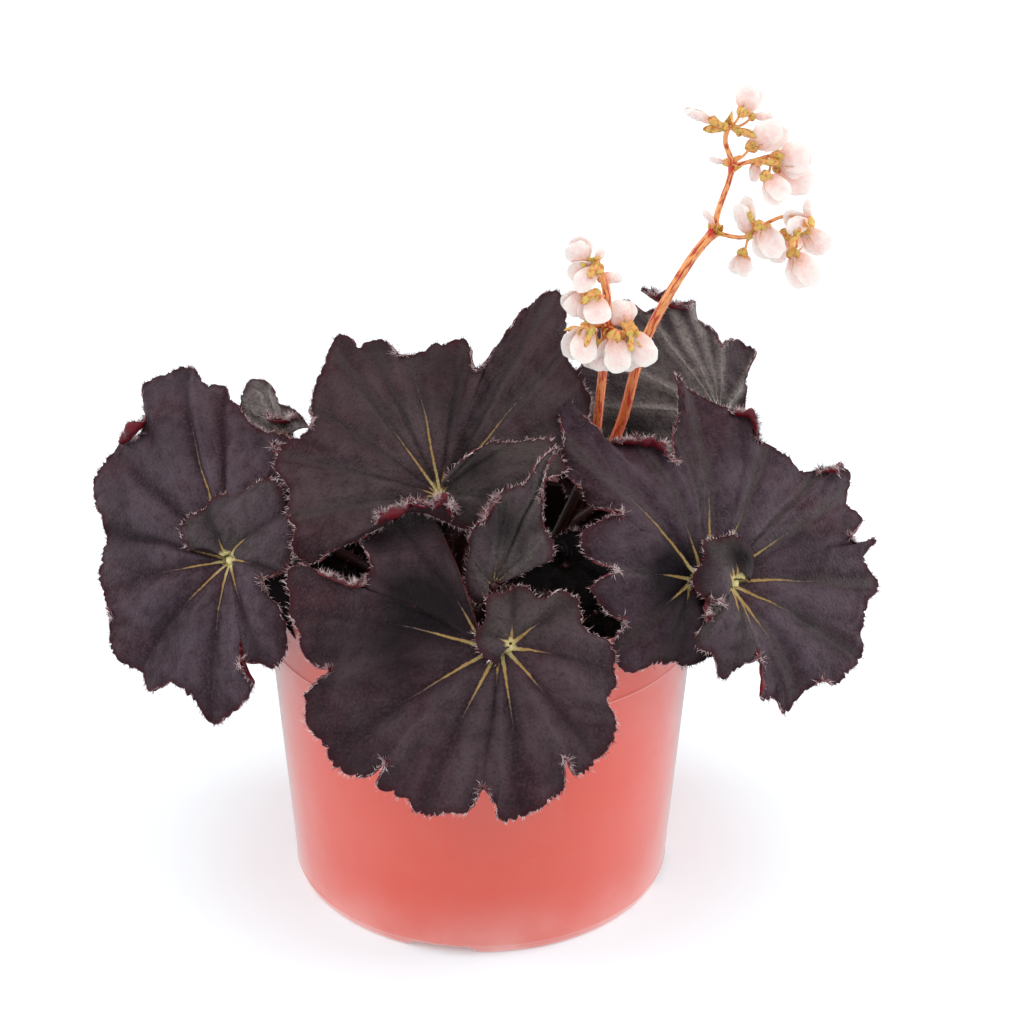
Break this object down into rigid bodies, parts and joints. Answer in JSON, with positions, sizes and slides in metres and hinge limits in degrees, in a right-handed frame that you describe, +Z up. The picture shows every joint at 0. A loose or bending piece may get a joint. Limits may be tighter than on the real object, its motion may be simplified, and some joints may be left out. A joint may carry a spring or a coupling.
{
  "type": "potted rex begonia",
  "caption": "Rex begonia with dark, spiral, toothed leaves on long stalks and two sprays of pale pink flowers, in a round plastic nursery pot.",
  "frame": {"origin": "on the floor, on the axis of the pot", "axes": "+Z up along the pot's axis, -Y towards the front, where the widest leaves hang over the rim, +X to the right, towards the tall flower spray"},
  "size_m": [0.2056, 0.1691, 0.2185],
  "materials": {
    "pot_plastic": "satin moulded terracotta-red plastic",
    "soil": "damp dark potting soil, crumbly and matte",
    "rhizome": "rough brown creeping stem with leaf scars",
    "leaf": "matte purple-black leaf with a soft sheen, pale veins and a hairy red margin",
    "flower_spray": "soft translucent pink petals on orange-red stems with fine hairs"
  },
  "bodies": {
    "root": {"pot": "pot_plastic", "soil": "soil", "rhizome": "rhizome", "leaf_left": "leaf", "leaf_upper": "leaf", "leaf_front": "leaf", "leaf_right": "leaf", "leaf_back_right": "leaf", "leaf_young": "leaf", "leaf_small_grey": "leaf", "leaf_crown": "leaf", "leaf_back_left": "leaf", "leaf_back": "leaf", "leaf_back_low": "leaf", "leaf_right_low": "leaf", "leaf_left_low": "leaf", "leaf_middle_low": "leaf", "spray_tall": "flower_spray", "spray_short": "flower_spray"}
  },
  "joints": []
}
